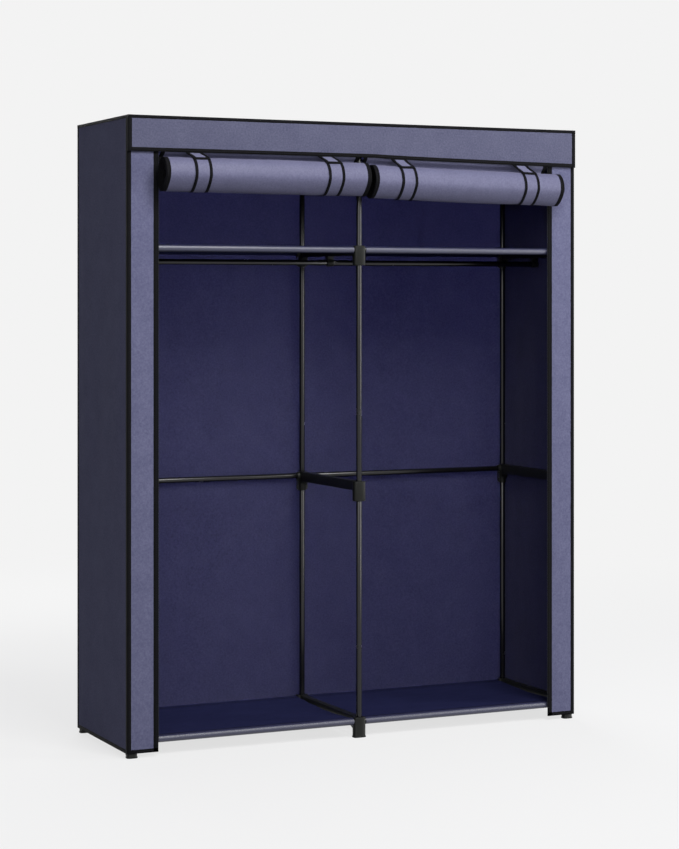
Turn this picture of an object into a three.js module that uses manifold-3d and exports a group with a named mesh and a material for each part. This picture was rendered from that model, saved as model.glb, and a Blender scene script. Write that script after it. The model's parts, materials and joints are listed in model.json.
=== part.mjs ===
// Portable fabric wardrobe: a frame of black steel tubes and moulded connectors, four cloth shelves,
// and a sewn cover with two doors that roll up in front of it.
// Millimetres, +X to the right, -Y to the front, +Z up, feet at z = 0.
import * as THREE from 'three';
import { mergeVertices } from 'three/addons/utils/BufferGeometryUtils.js';
import Module from 'manifold-3d';

const wasm = await Module();
wasm.setup();

// Driving dimensions of the whole wardrobe
const cover_width = 1400;
const cover_depth = 430;
const cover_height = 1740;
const clearance = 0.3;
const cut_overrun = 1.2;
const grid = 0.001;

// Cloth, binding tape and the sewn cover
const cloth = 1.2;
const tape = 0.8;
const tape_width = 12;
const hem_height = 10;
const zip_band = 14;
const cover_lift = 13;
const strip_width = 90;
const valance_height = 98;
const valance_standoff = 7;

// Tubes and the levels of their axes above the floor
const tube_diameter = 16;
const tube_wall = 0.9;
const bottom_level = 45;
const top_bay_height = 344.7;
const rod_drop = 34;

// Moulded connectors: bosses on the posts, joined from front to rear by a channel bar
const boss_depth = 22;
const boss_reach = 18;
const boss_outer_reach = 11;
const boss_corner = 8;
const boss_bevel = 1.2;
const boss_rise = 12;
const boss_drop = 44;
const socket_floor = 12;
const socket_web = 5;
const socket_roof = 6;
const socket_wall = 1.5;
const bar_height = 27;
const bar_width = 20;
const bar_wall = 2.5;
const bar_pockets = 5;
const fillet_run = 20;
const fillet_drop = 14;
const arch_run = 46;
const arch_foot = 6;
const ear_thickness = 4;
const ear_corner = 9;
const ear_window_width = 3.6;
const ear_window_height = 15;
const ear_window_drop = 22;
const ear_window_inset = 0.6;
const foot_flare = 1;
const foot_flare_height = 4;
const holder_length = 20;
const holder_width = 14;
const holder_web = 2;

// Cloth shelves with a sleeve along each tube
const shelf_inset = 1;
const shelf_sag = 8;

// Doors, rolled up, with the straps and tabs that hold them
const door_side_gap = 6;
const door_centre_gap = 14;
const door_bend_drop = 102;
const roll_radius = 48.5;
const roll_core = 13;
const roll_turns = 8;
const roll_gap = 9.5;
const roll_below_top = 165;
const roll_slip = 12.5;
const strap_width = 50;
const strap_cloth = 1.6;
const strap_spread = 396;
const strap_top_drop = 75;
const tab_pin_standoff = 1.2;
const tab_pin_drop = 1;

// Zip sliders on the inner edges of the front strips
const slider_height = 20;
const slider_plate = 1.2;
const slider_inside = 5;
const slider_outside = 9;
const slider_below_top = 28;
const bridge_height = 8;
const bridge_width = 3;
const pull_length = 32;
const pull_width = 8;
const pull_thickness = 1;
const pull_rim = 2.2;

// Angles in degrees around a roll, from its back over its top
const strap_end_angle = 90;
const strap_settle_angle = 25;
const tab_tip_angle = 112;
const tab_least_wrap = 3;

// Facets of round forms, counts only
const tube_sides = 12;
const corner_steps = 3;
const curve_steps = 6;
const roll_steps = 24;
const shelf_steps = 8;

// Places that follow from the sizes above
const half_width = cover_width / 2;
const half_depth = cover_depth / 2;
const hem = tape + cloth + tape;
const strip_y = -half_depth + valance_standoff;
const strip_edge = half_width - strip_width;
const valance_z = cover_height - valance_height;
const top_under = cover_height - tape - cloth;
const cover_top_z = top_under - clearance;
const tube_radius = tube_diameter / 2;
const bore_radius = tube_radius + clearance;
const post_x = half_width - hem - clearance - boss_outer_reach;
const front_y = strip_y + hem + clearance + boss_depth / 2;
const rear_y = half_depth - hem - clearance - boss_depth / 2;
const mid_y = (front_y + rear_y) / 2;
const top_level = cover_top_z - boss_rise;
const shelf_level = top_level - top_bay_height;
const mid_level = (bottom_level + shelf_level) / 2;
const rod_level = shelf_level - rod_drop;
const tube_seat = bore_radius + socket_wall;
const door_inner = door_centre_gap / 2;
const door_outer = strip_edge - door_side_gap;
const door_width = door_outer - door_inner;
const door_x = (door_inner + door_outer) / 2;
const roll_outer = door_outer + roll_slip;
const door_plane_y = strip_y + hem / 2;
const roll_y = strip_y - roll_gap - roll_radius;
const roll_z = cover_height - roll_below_top;

const finish = {
  tube: { color: 0x1b1b1d, roughness: 0.35, metalness: 0.6 },
  plastic: { color: 0x26282a, roughness: 0.45, metalness: 0.0 },
  cover: { color: 0x3b3a66, roughness: 0.95, metalness: 0.0 },
  shelf: { color: 0x2c2c55, roughness: 0.9, metalness: 0.0 },
  door: { color: 0x55548a, roughness: 0.9, metalness: 0.0 },
  strap: { color: 0x4a4a78, roughness: 0.9, metalness: 0.0 },
  tab: { color: 0x6b6b90, roughness: 0.8, metalness: 0.0 },
  zip: { color: 0x202124, roughness: 0.3, metalness: 0.7 },
};

const wardrobe = new THREE.Group();

// Solids from three.js geometry, joined and cut by booleans. Their points are rounded to a fine grid,
// so that faces meant to lie in one plane do.

function toSolid(geometry) {
  geometry.deleteAttribute('normal');
  geometry.deleteAttribute('uv');
  const merged = mergeVertices(geometry);
  const points = merged.attributes.position.array;
  return new wasm.Manifold(
    new wasm.Mesh({
      numProp: 3,
      vertProperties: Float32Array.from(points, (value) => Math.round(value / grid) * grid),
      triVerts: Uint32Array.from(merged.index.array),
    }),
  );
}

function addPiece(name, solid, surface) {
  const mesh = solid.getMesh();
  const geometry = new THREE.BufferGeometry();
  geometry.setAttribute('position', new THREE.BufferAttribute(mesh.vertProperties, 3));
  geometry.setIndex(new THREE.BufferAttribute(mesh.triVerts, 1));
  const piece = new THREE.Mesh(geometry.toNonIndexed(), new THREE.MeshStandardMaterial(surface));
  piece.geometry.computeVertexNormals();
  piece.name = name;
  wardrobe.add(piece);
}

// Which way each axis of a profile points: its own X, its own Y, and the way it is extruded
const profile_planes = {
  x: [new THREE.Vector3(0, 1, 0), new THREE.Vector3(0, 0, 1), new THREE.Vector3(1, 0, 0)],
  y: [new THREE.Vector3(0, 0, 1), new THREE.Vector3(1, 0, 0), new THREE.Vector3(0, 1, 0)],
  z: [new THREE.Vector3(1, 0, 0), new THREE.Vector3(0, 1, 0), new THREE.Vector3(0, 0, 1)],
};

// Extrudes a profile along an axis from one place to another
function extrude(shape, axis, from, to, bevel = 0) {
  const geometry = new THREE.ExtrudeGeometry(shape, {
    depth: to - from - 2 * bevel,
    bevelEnabled: bevel > 0,
    bevelSize: bevel,
    bevelThickness: bevel,
    bevelOffset: -bevel,
    bevelSegments: 1,
    steps: 1,
  });
  geometry.translate(0, 0, from + bevel);
  geometry.applyMatrix4(new THREE.Matrix4().makeBasis(...profile_planes[axis]));
  return toSolid(geometry);
}

function box(x0, x1, y0, y1, z0, z1) {
  const geometry = new THREE.BoxGeometry(x1 - x0, y1 - y0, z1 - z0);
  geometry.translate((x0 + x1) / 2, (y0 + y1) / 2, (z0 + z1) / 2);
  return toSolid(geometry);
}

function joinAll(solids) {
  return solids.reduce((whole, solid) => whole.add(solid));
}

function turn(radius, degrees) {
  const angle = THREE.MathUtils.degToRad(degrees);
  return new THREE.Vector2(radius * Math.cos(angle), radius * Math.sin(angle));
}

function roundPoints(u, v, radius) {
  const points = [];
  for (let i = 0; i < tube_sides; i += 1) {
    points.push(turn(radius, (360 * (i + 0.5)) / tube_sides).add(new THREE.Vector2(u, v)));
  }
  return points;
}

// A round bar along an axis through (u, v), the two other places in the order of the profile plane
function rod(axis, u, v, radius, from, to) {
  return extrude(new THREE.Shape(roundPoints(u, v, radius)), axis, from, to);
}

function hollowTube(axis, u, v, from, to) {
  const section = new THREE.Shape(roundPoints(u, v, tube_radius));
  section.holes.push(new THREE.Path(roundPoints(u, v, tube_radius - tube_wall)));
  return extrude(section, axis, from, to);
}

// A rectangle whose four corners are rounded by their own radii, from the low corner anticlockwise
function roundedRectangle(u0, u1, v0, v1, radii) {
  const corners = [
    [u0 + radii[0], v0 + radii[0], 180],
    [u1 - radii[1], v0 + radii[1], 270],
    [u1 - radii[2], v1 - radii[2], 0],
    [u0 + radii[3], v1 - radii[3], 90],
  ];
  const points = [];
  corners.forEach(([u, v, start], index) => {
    const steps = radii[index] > 0 ? corner_steps : 0;
    for (let i = 0; i <= steps; i += 1) {
      const along = steps > 0 ? i / steps : 0;
      points.push(turn(radii[index], start + 90 * along).add(new THREE.Vector2(u, v)));
    }
  });
  return new THREE.Shape(points);
}

// The line that lies a distance to the left of another, with mitred corners
function offsetLine(points, distance) {
  return points.map((point, index) => {
    const before = points[Math.max(index - 1, 0)];
    const after = points[Math.min(index + 1, points.length - 1)];
    const into = point.clone().sub(before).normalize();
    const out = after.clone().sub(point).normalize();
    const way = into.clone().add(out).normalize();
    const side = new THREE.Vector2(-way.y, way.x);
    const straight = into.lengthSq() > 0 && out.lengthSq() > 0 ? into.dot(out) : 1;
    return point.clone().addScaledVector(side, distance / Math.sqrt((1 + straight) / 2));
  });
}

// A sheet of even thickness along a line of points, extruded along X
function sheetAlong(points, thickness, from, to) {
  const left = offsetLine(points, thickness / 2);
  const right = offsetLine(points, -thickness / 2);
  return extrude(new THREE.Shape([...right, ...left.reverse()]), 'x', from, to);
}

// Frame: posts, connectors and rails

const sides = [
  { name: 'left', x: -post_x, reach_left: boss_outer_reach, reach_right: boss_reach },
  { name: 'centre', x: 0, reach_left: boss_reach, reach_right: boss_reach },
  { name: 'right', x: post_x, reach_left: boss_reach, reach_right: boss_outer_reach },
];
const rows = [
  { name: 'front', y: front_y },
  { name: 'rear', y: rear_y },
];
const levels = [
  { name: 'bottom', z: bottom_level, foot: true, rails: ['front', 'rear'] },
  { name: 'mid', z: mid_level, rails: ['rear'] },
  { name: 'shelf', z: shelf_level, through: true, rails: ['front', 'rear'], holder: true },
  { name: 'top', z: top_level, capped: true, rails: ['front', 'rear'] },
];

// The solid front boss: a column with round corners, and on a foot a slight flare
function frontBoss(side, y, low, high, foot) {
  const plan = (grow) =>
    roundedRectangle(
      side.x - side.reach_left - grow,
      side.x + side.reach_right + grow,
      y - boss_depth / 2 - grow,
      y + boss_depth / 2 + grow,
      [boss_corner, boss_corner, boss_corner, boss_corner],
    );
  const column = extrude(plan(0), 'z', low, high, boss_bevel);
  return foot ? column.add(extrude(plan(foot_flare), 'z', low, low + foot_flare_height)) : column;
}

// The rear boss: a sleeve on the post, a socket across it, and thin ears with a window below the socket
function rearBoss(side, y, level, low, high) {
  const radius = boss_depth / 2;
  const left = side.x - side.reach_left;
  const right = side.x + side.reach_right;
  const sleeve = rod('z', side.x, y, radius, low, high);
  const socket = rod('x', y, level.z, radius, left, right);
  const reaches = [side.reach_left, side.reach_right].map((reach) => (reach > radius ? ear_corner : 0));
  const outline = roundedRectangle(low, level.z, left, right, [reaches[0], 0, 0, reaches[1]]);
  const ears = extrude(outline, 'y', y - ear_thickness / 2, y + ear_thickness / 2);
  let boss = joinAll([sleeve, socket, ears]);
  [-side.reach_left, side.reach_right].forEach((reach) => {
    if (Math.abs(reach) > radius) {
      const centre = side.x + Math.sign(reach) * ((Math.abs(reach) + radius) / 2 - ear_window_inset);
      const window_z = level.z - ear_window_drop;
      const window = roundedRectangle(
        window_z - ear_window_height / 2,
        window_z + ear_window_height / 2,
        centre - ear_window_width / 2,
        centre + ear_window_width / 2,
        [0, 0, 0, 0],
      );
      const through = ear_thickness / 2 + cut_overrun;
      boss = boss.subtract(extrude(window, 'y', y - through, y + through));
    }
  });
  return boss;
}

// The bar between the bosses, seen from the side, with its fillets or the arches of the feet
function barProfile(level, high) {
  const under = high - bar_height;
  const near = front_y + boss_depth / 2 - boss_corner;
  const far = rear_y - tube_radius;
  const start = front_y + boss_depth / 2;
  const stop = rear_y - boss_depth / 2;
  const run = level.foot ? arch_run : fillet_run;
  const foot = level.foot ? arch_foot : under - fillet_drop;
  const points = [new THREE.Vector2(near, high), new THREE.Vector2(near, foot)];
  for (let i = 0; i <= curve_steps; i += 1) {
    const rise = turn(1, (90 * i) / curve_steps);
    points.push(new THREE.Vector2(start + run * (1 - rise.x), foot + (under - foot) * rise.y));
  }
  for (let i = curve_steps; i >= 0; i -= 1) {
    const rise = turn(1, (90 * i) / curve_steps);
    points.push(new THREE.Vector2(stop - run * (1 - rise.x), foot + (under - foot) * rise.y));
  }
  points.push(new THREE.Vector2(far, foot), new THREE.Vector2(far, high));
  return new THREE.Shape(points.reverse());
}

function connector(level, side) {
  const low = level.foot ? 0 : level.z - boss_drop;
  const high = level.z + boss_rise;
  const under = high - bar_height;
  const bar_left = side.x - bar_width / 2;
  const bar_right = side.x + bar_width / 2;
  let solid = extrude(barProfile(level, high), 'x', bar_left, bar_right);
  const run = level.foot ? arch_run : fillet_run;
  const first = front_y + boss_depth / 2 + run;
  const pitch = (rear_y - boss_depth / 2 - run - first) / bar_pockets;
  for (let i = 0; i < bar_pockets; i += 1) {
    const pocket_y = first + pitch * i;
    solid = solid.subtract(
      box(
        bar_left + bar_wall,
        bar_right - bar_wall,
        pocket_y + bar_wall / 2,
        pocket_y + pitch - bar_wall / 2,
        under - bar_wall,
        high - bar_wall,
      ),
    );
  }
  solid = joinAll([
    solid,
    frontBoss(side, front_y, low, high, level.foot),
    level.foot ? frontBoss(side, rear_y, low, high, true) : rearBoss(side, rear_y, level, low, high),
  ]);
  if (level.holder) {
    const half = holder_length / 2;
    const neck = box(
      side.x - half,
      side.x + half,
      mid_y - holder_width / 2,
      mid_y + holder_width / 2,
      rod_level,
      high - bar_wall / 2,
    );
    solid = joinAll([solid, neck, rod('x', mid_y, rod_level, boss_depth / 2, side.x - half, side.x + half)]);
  }
  return cutSockets(solid, level, side, low, high);
}

// Bores for the posts, the rails and the hanging rods
function cutSockets(solid, level, side, low, high) {
  let cut = solid;
  rows.forEach((row) => {
    const bores = [];
    if (level.through) {
      bores.push([low - cut_overrun, high + cut_overrun]);
    } else {
      if (!level.capped) bores.push([level.z - socket_floor, high + cut_overrun]);
      if (!level.foot) {
        const floor = level.capped ? high - socket_roof : level.z - socket_floor - socket_web;
        bores.push([low - cut_overrun, floor]);
      }
    }
    bores.forEach(([from, to]) => {
      cut = cut.subtract(rod('z', side.x, row.y, bore_radius, from, to));
    });
    if (level.rails.includes(row.name)) {
      cut = cutAcross(cut, side, row.y, level.z, tube_seat, boss_reach + cut_overrun);
    }
  });
  return level.holder
    ? cutAcross(cut, side, mid_y, rod_level, holder_web / 2, holder_length / 2 + cut_overrun)
    : cut;
}

// Cuts a socket from each side that faces a bay
function cutAcross(solid, side, y, z, inner, outer) {
  let cut = solid;
  if (side.name !== 'left') {
    cut = cut.subtract(rod('x', y, z, bore_radius, side.x - outer, side.x - inner));
  }
  if (side.name !== 'right') {
    cut = cut.subtract(rod('x', y, z, bore_radius, side.x + inner, side.x + outer));
  }
  return cut;
}

const bays = [
  { name: 'left', from: -post_x, to: 0, sign: -1 },
  { name: 'right', from: 0, to: post_x, sign: 1 },
];

function addFrame() {
  levels.forEach((level) => {
    sides.forEach((side) => {
      addPiece(`${level.name}_connector_${side.name}`, connector(level, side), finish.plastic);
    });
    rows.forEach((row) => {
      if (!level.rails.includes(row.name)) return;
      bays.forEach((bay) => {
        const inset = tube_seat + clearance;
        const rail = hollowTube('x', row.y, level.z, bay.from + inset, bay.to - inset);
        addPiece(`${level.name}_rail_${row.name}_${bay.name}`, rail, finish.tube);
      });
    });
  });
  bays.forEach((bay) => {
    const inset = holder_web / 2 + clearance;
    const hanging = hollowTube('x', mid_y, rod_level, bay.from + inset, bay.to - inset);
    addPiece(`hanging_rod_${bay.name}`, hanging, finish.tube);
  });
  const mid_floor = mid_level - socket_floor;
  const spans = [
    ['lower', bottom_level - socket_floor + clearance, mid_floor - socket_web - clearance],
    ['upper', mid_floor + clearance, top_level + boss_rise - socket_roof - clearance],
  ];
  spans.forEach(([name, from, to]) => {
    rows.forEach((row) => {
      sides.forEach((side) => {
        const post = hollowTube('z', side.x, row.y, from, to);
        addPiece(`${name}_post_${row.name}_${side.name}`, post, finish.tube);
      });
    });
  });
}

// Cloth shelves: a sagging sheet with a sleeve around the front rail and the rear rail

function clothShelf(bay, z) {
  const from = bay.from + boss_reach + shelf_inset;
  const to = bay.to - boss_reach - shelf_inset;
  const outer = bore_radius + cloth;
  const points = [];
  for (let i = 0; i <= shelf_steps; i += 1) {
    const along = i / shelf_steps;
    const sag = shelf_sag * 4 * along * (1 - along);
    points.push(new THREE.Vector2(front_y + (rear_y - front_y) * along, z + outer - cloth / 2 - sag));
  }
  const sheet = sheetAlong(points, cloth, from, to);
  const sleeves = rows.map((row) => rod('x', row.y, z, outer, from, to));
  let shelf = joinAll([sheet, ...sleeves]);
  rows.forEach((row) => {
    shelf = shelf.subtract(rod('x', row.y, z, bore_radius, from - cut_overrun, to + cut_overrun));
  });
  return shelf;
}

function addShelves() {
  bays.forEach((bay) => {
    addPiece(`bottom_shelf_${bay.name}`, clothShelf(bay, bottom_level), finish.shelf);
    addPiece(`upper_shelf_${bay.name}`, clothShelf(bay, shelf_level), finish.shelf);
  });
}

// Cover: walls open at the bottom and the front, and a top with the valance

// The plan of the walls, with their outer and inner faces moved out by some thickness
function wallPlan(grow) {
  const out = half_width - tape + grow;
  const back = half_depth - tape + grow;
  const front = strip_y + tape - grow;
  const wall = cloth + 2 * grow;
  return new THREE.Shape([
    new THREE.Vector2(-strip_edge, front),
    new THREE.Vector2(-strip_edge, front + wall),
    new THREE.Vector2(-out + wall, front + wall),
    new THREE.Vector2(-out + wall, back - wall),
    new THREE.Vector2(out - wall, back - wall),
    new THREE.Vector2(out - wall, front + wall),
    new THREE.Vector2(strip_edge, front + wall),
    new THREE.Vector2(strip_edge, front),
    new THREE.Vector2(out, front),
    new THREE.Vector2(out, back),
    new THREE.Vector2(-out, back),
    new THREE.Vector2(-out, front),
  ]);
}

function coverBody() {
  const pieces = [
    extrude(wallPlan(0), 'z', cover_lift, cover_top_z),
    extrude(wallPlan(tape), 'z', cover_lift, cover_lift + hem_height),
  ];
  [-1, 1].forEach((sign) => {
    const across = (a, b) => [Math.min(sign * a, sign * b), Math.max(sign * a, sign * b)];
    const full = [cover_lift, cover_top_z];
    const side = across(half_width - tape - cloth, half_width);
    const corner = across(half_width - tape_width, half_width);
    pieces.push(
      box(...side, strip_y, strip_y + tape_width, ...full),
      box(...corner, strip_y, strip_y + tape + cloth, ...full),
      box(...side, half_depth - tape_width, half_depth, ...full),
      box(...corner, half_depth - tape - cloth, half_depth, ...full),
      box(...across(strip_edge, strip_edge + zip_band), strip_y, strip_y + hem, ...full),
    );
  });
  return joinAll(pieces);
}

function coverTop() {
  const edge = half_width - tape;
  const front = -half_depth;
  const back = half_depth - tape;
  const wide = [-half_width, half_width];
  const side_stop = strip_y - clearance;
  const over = [top_under, cover_height];
  const pieces = [
    box(-edge, edge, front + tape, back, top_under, cover_height - tape),
    box(-edge, edge, front + tape, front + tape + cloth, valance_z, cover_height - tape),
    box(...wide, front, front + tape_width, ...over),
    box(...wide, half_depth - tape_width, half_depth, ...over),
    box(...wide, front, front + tape + cloth, cover_height - tape_width, cover_height),
    box(...wide, front, front + hem, valance_z, valance_z + hem_height),
  ];
  [-1, 1].forEach((sign) => {
    const across = (a, b) => [Math.min(sign * a, sign * b), Math.max(sign * a, sign * b)];
    const edging = across(half_width - tape_width, half_width);
    pieces.push(
      box(...edging, front, half_depth, ...over),
      box(...edging, front, front + tape + cloth, valance_z, cover_height),
      box(...across(half_width - tape - cloth, half_width), front, side_stop, valance_z, cover_height),
    );
  });
  return joinAll(pieces);
}

function addCover() {
  addPiece('cover_body', coverBody(), finish.cover);
  addPiece('cover_top', coverTop(), finish.cover);
}

// Doors: each is one cloth that hangs behind its roll and winds up in it

// How far the middle of the roll's cloth lies from its axis after some turns
function spiralRadius(turns) {
  const outside = roll_radius - cloth / 2;
  return outside - ((outside - roll_core) * turns) / roll_turns;
}

function aroundRoll(radius, degrees) {
  return turn(radius, degrees).add(new THREE.Vector2(roll_y, roll_z));
}

function rollPoints() {
  const points = [];
  for (let i = 0; i <= roll_turns * roll_steps; i += 1) {
    const turns = i / roll_steps;
    points.push(aroundRoll(spiralRadius(turns), -360 * turns));
  }
  return points;
}

// The flat cloth from under the top of the cover to the back of the roll
function panelPoints() {
  const end_y = roll_y + roll_radius + clearance + cloth / 2;
  return [
    new THREE.Vector2(door_plane_y, cover_top_z),
    new THREE.Vector2(door_plane_y, cover_height - door_bend_drop),
    new THREE.Vector2(end_y, roll_z),
  ];
}

// The line of a strap: down behind the cloth, round under the roll and up to the top of its front
function strapPoints() {
  const behind = offsetLine(panelPoints(), cloth / 2 + clearance + strap_cloth / 2);
  const points = [new THREE.Vector2(behind[0].x, cover_height - strap_top_drop), behind[1], behind[2]];
  const steps = Math.round(((360 - strap_end_angle) * roll_steps) / 360);
  for (let i = 1; i <= steps; i += 1) {
    const degrees = (360 * i) / roll_steps;
    const settled = Math.min(degrees / strap_settle_angle, 1);
    const apart = cloth / 2 + clearance + strap_cloth / 2 + (cloth + clearance) * (1 - settled);
    points.push(aroundRoll(spiralRadius(degrees / 360) + apart, -degrees));
  }
  return points;
}

// The line of a tab: from its pin under the valance, straight to the top of the strap and over it
function tabPoints() {
  const pin = new THREE.Vector2(-half_depth - tab_pin_standoff, valance_z - tab_pin_drop);
  const turns = (360 - tab_tip_angle) / 360;
  const radius = spiralRadius(turns) + cloth / 2 + clearance + strap_cloth + clearance + strap_cloth / 2;
  const reach = pin.clone().sub(new THREE.Vector2(roll_y, roll_z));
  const lean = Math.acos(radius / reach.length());
  const touch = THREE.MathUtils.radToDeg(Math.atan2(reach.y, reach.x) + lean);
  const last = Math.max(tab_tip_angle, touch + tab_least_wrap);
  const points = [pin];
  for (let i = 0; i <= corner_steps; i += 1) {
    points.push(aroundRoll(radius, touch + ((last - touch) * i) / corner_steps));
  }
  return points;
}

function addDoors() {
  bays.forEach((bay) => {
    const centre = bay.sign * door_x;
    const half = door_width / 2;
    const middle = (bay.sign * (door_inner + roll_outer)) / 2;
    const rolled = (roll_outer - door_inner) / 2;
    const panel = sheetAlong(panelPoints(), cloth, centre - half, centre + half);
    addPiece(`door_panel_${bay.name}`, panel, finish.door);
    const roll = sheetAlong(rollPoints(), cloth, middle - rolled, middle + rolled);
    addPiece(`door_roll_${bay.name}`, roll, finish.door);
    [-1, 1].forEach((end) => {
      const place = end === bay.sign ? 'outer' : 'inner';
      const strap_x = middle + (end * strap_spread) / 2;
      const from = strap_x - strap_width / 2;
      const to = strap_x + strap_width / 2;
      addPiece(`strap_${bay.name}_${place}`, sheetAlong(strapPoints(), strap_cloth, from, to), finish.strap);
      addPiece(`tab_${bay.name}_${place}`, sheetAlong(tabPoints(), strap_cloth, from, to), finish.tab);
    });
  });
}

// Zip sliders: a body that straddles the zip band, a bridge, and a pull that hangs on it

function slider(sign) {
  const across = (a, b) => [Math.min(sign * a, sign * b), Math.max(sign * a, sign * b)];
  const high = cover_top_z - slider_below_top;
  const low = high - slider_height;
  const inside = strip_edge - slider_inside;
  const outside = strip_edge + slider_outside;
  const front = strip_y - clearance - slider_plate;
  const rear = strip_y + hem + clearance + slider_plate;
  const middle = (inside + outside) / 2;
  const body = box(...across(inside, outside), front, rear, low, high);
  const slot = box(
    ...across(strip_edge - clearance, outside + cut_overrun),
    strip_y - clearance,
    strip_y + hem + clearance,
    low - cut_overrun,
    high + cut_overrun,
  );
  const pull_front = front - clearance - pull_thickness;
  const bridge_low = (low + high - bridge_height) / 2;
  const bridge_x = across(middle - bridge_width / 2, middle + bridge_width / 2);
  const bridge = box(...bridge_x, pull_front, front + slider_plate, bridge_low, bridge_low + pull_rim);
  const pull_top = bridge_low + pull_rim;
  const pull_x = across(middle - pull_width / 2, middle + pull_width / 2);
  const hole_x = across(middle - pull_width / 2 + pull_rim, middle + pull_width / 2 - pull_rim);
  const pull_low = pull_top - pull_length;
  const pull = box(...pull_x, pull_front, pull_front + pull_thickness, pull_low, pull_top);
  const hole = box(
    ...hole_x,
    pull_front - clearance / 2,
    pull_front + pull_thickness + clearance / 2,
    pull_low + pull_rim,
    pull_low + pull_rim + bridge_height,
  );
  return joinAll([body.subtract(slot), bridge, pull.subtract(hole)]);
}

function addSliders() {
  bays.forEach((bay) => {
    addPiece(`zip_slider_${bay.name}`, slider(bay.sign), finish.zip);
  });
}

addFrame();
addShelves();
addCover();
addDoors();
addSliders();

// The origin is at the middle of the base of the whole object, rolls included
const bounds = new THREE.Box3().setFromObject(wardrobe);
wardrobe.position.y = -(bounds.min.y + bounds.max.y) / 2;

const turn_gap = (spiralRadius(0) - spiralRadius(1)) * Math.cos(Math.PI / roll_steps) - cloth;
console.log(`least gap between the turns of a roll: ${turn_gap.toFixed(2)} mm`);
console.log(`the cover is ${wardrobe.position.y.toFixed(3)} mm behind the origin`);

export default wardrobe;
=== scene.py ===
# Looks of a portable fabric wardrobe: a black tube frame with moulded connectors and cloth shelves,
# and a sewn navy cover with black binding tape, whose two doors are rolled up and strapped.
# Metres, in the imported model's frame: +X to the right, -Y to the front, +Z up.
import json
import math

import bmesh
import bpy
from mathutils import Matrix, Vector, noise


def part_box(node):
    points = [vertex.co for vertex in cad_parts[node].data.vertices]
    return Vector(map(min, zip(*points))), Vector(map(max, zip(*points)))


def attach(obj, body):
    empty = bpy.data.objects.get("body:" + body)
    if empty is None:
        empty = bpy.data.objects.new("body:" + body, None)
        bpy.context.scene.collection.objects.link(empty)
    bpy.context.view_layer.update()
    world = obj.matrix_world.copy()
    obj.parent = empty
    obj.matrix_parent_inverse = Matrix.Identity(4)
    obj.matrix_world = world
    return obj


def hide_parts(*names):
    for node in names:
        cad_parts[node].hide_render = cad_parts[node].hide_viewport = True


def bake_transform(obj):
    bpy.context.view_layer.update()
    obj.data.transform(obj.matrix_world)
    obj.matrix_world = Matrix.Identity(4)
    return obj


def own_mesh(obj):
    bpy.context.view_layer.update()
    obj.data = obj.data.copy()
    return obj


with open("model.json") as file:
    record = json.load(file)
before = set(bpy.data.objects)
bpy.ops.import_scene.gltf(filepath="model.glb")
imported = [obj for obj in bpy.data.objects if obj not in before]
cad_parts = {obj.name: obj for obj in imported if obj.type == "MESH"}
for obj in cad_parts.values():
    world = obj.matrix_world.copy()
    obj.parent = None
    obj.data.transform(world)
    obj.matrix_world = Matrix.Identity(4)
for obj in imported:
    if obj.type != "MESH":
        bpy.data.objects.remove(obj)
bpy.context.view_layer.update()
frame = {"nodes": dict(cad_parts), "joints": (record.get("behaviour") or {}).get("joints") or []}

MM = 0.001
ROOT = "frame_and_cover"
BAYS = ("left", "right")
ENDS = ("outer", "inner")

# The photograph's camera, as fitted to the wardrobe's printed sizes. The picture is taller than it
# is wide, so the sensor's size and the lens go by its height.
PICTURE_HEIGHT = 849
CAMERA_PLACE = Vector((-2.7462, -5.8803, 1.2458))
CAMERA_YAW = math.radians(25.086)
FOCAL_PIXELS = 2242.8
HORIZON_PIXEL = 297.57
SENSOR = 36.0

# Sizes of the cloth, tape and tubes
CLOTH = 1.2 * MM
TAPE = 0.8 * MM
HEM = CLOTH + 2 * TAPE
TAPE_WIDTH = 11.5 * MM
LID_TAPE = 9 * MM
HEM_HEIGHT = 10.5 * MM
ZIP_BAND = 14 * MM
STRIP_WIDTH = 90 * MM
TUBE_RADIUS = 8 * MM
TUBE_WALL = 0.9 * MM
CLEARANCE = 0.3 * MM

# Folds and seams: how far a tape's fold reaches from its corner and how much of it is cut off, a
# door binding's reach past the cloth and its thickness over it
FOLD_REACH = 1 * MM
FOLD_CUT = 0.3 * MM
BINDING_LAP = 0.4 * MM
BINDING_OVER = 1.1 * MM

# Cloth shelves: their sag and ripples, the wrap of a sleeve in degrees, its seam's distance from the
# rail and width, how far back its shiny face reaches, and the creases that the packing raised. The
# creases' places and width are shares of the shelf's depth.
SHELF_SAG = 8 * MM
SHELF_RIPPLE = 1.6 * MM
SLEEVE_WRAP = 260
SLEEVE_SEAM = 17 * MM
SLEEVE_FACE = 12 * MM
SEAM_WIDTH = 4 * MM
CREASES = (0.2, 0.43, 0.66, 0.86)
CREASE_WIDTH = 0.018
CREASE_HEIGHT = 1.1 * MM

# The walls' bulges from their planes, and the sags and waves of the lid
SIDE_BULGE = 2.4 * MM
BACK_BULGE = 3.0 * MM
STRIP_BULGE = 0.9 * MM
LID_SAG = 7 * MM
LID_SHOULDER = 2.2 * MM
LID_RIPPLE = 1.5 * MM
VALANCE_WAVE = 1.4 * MM

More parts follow.
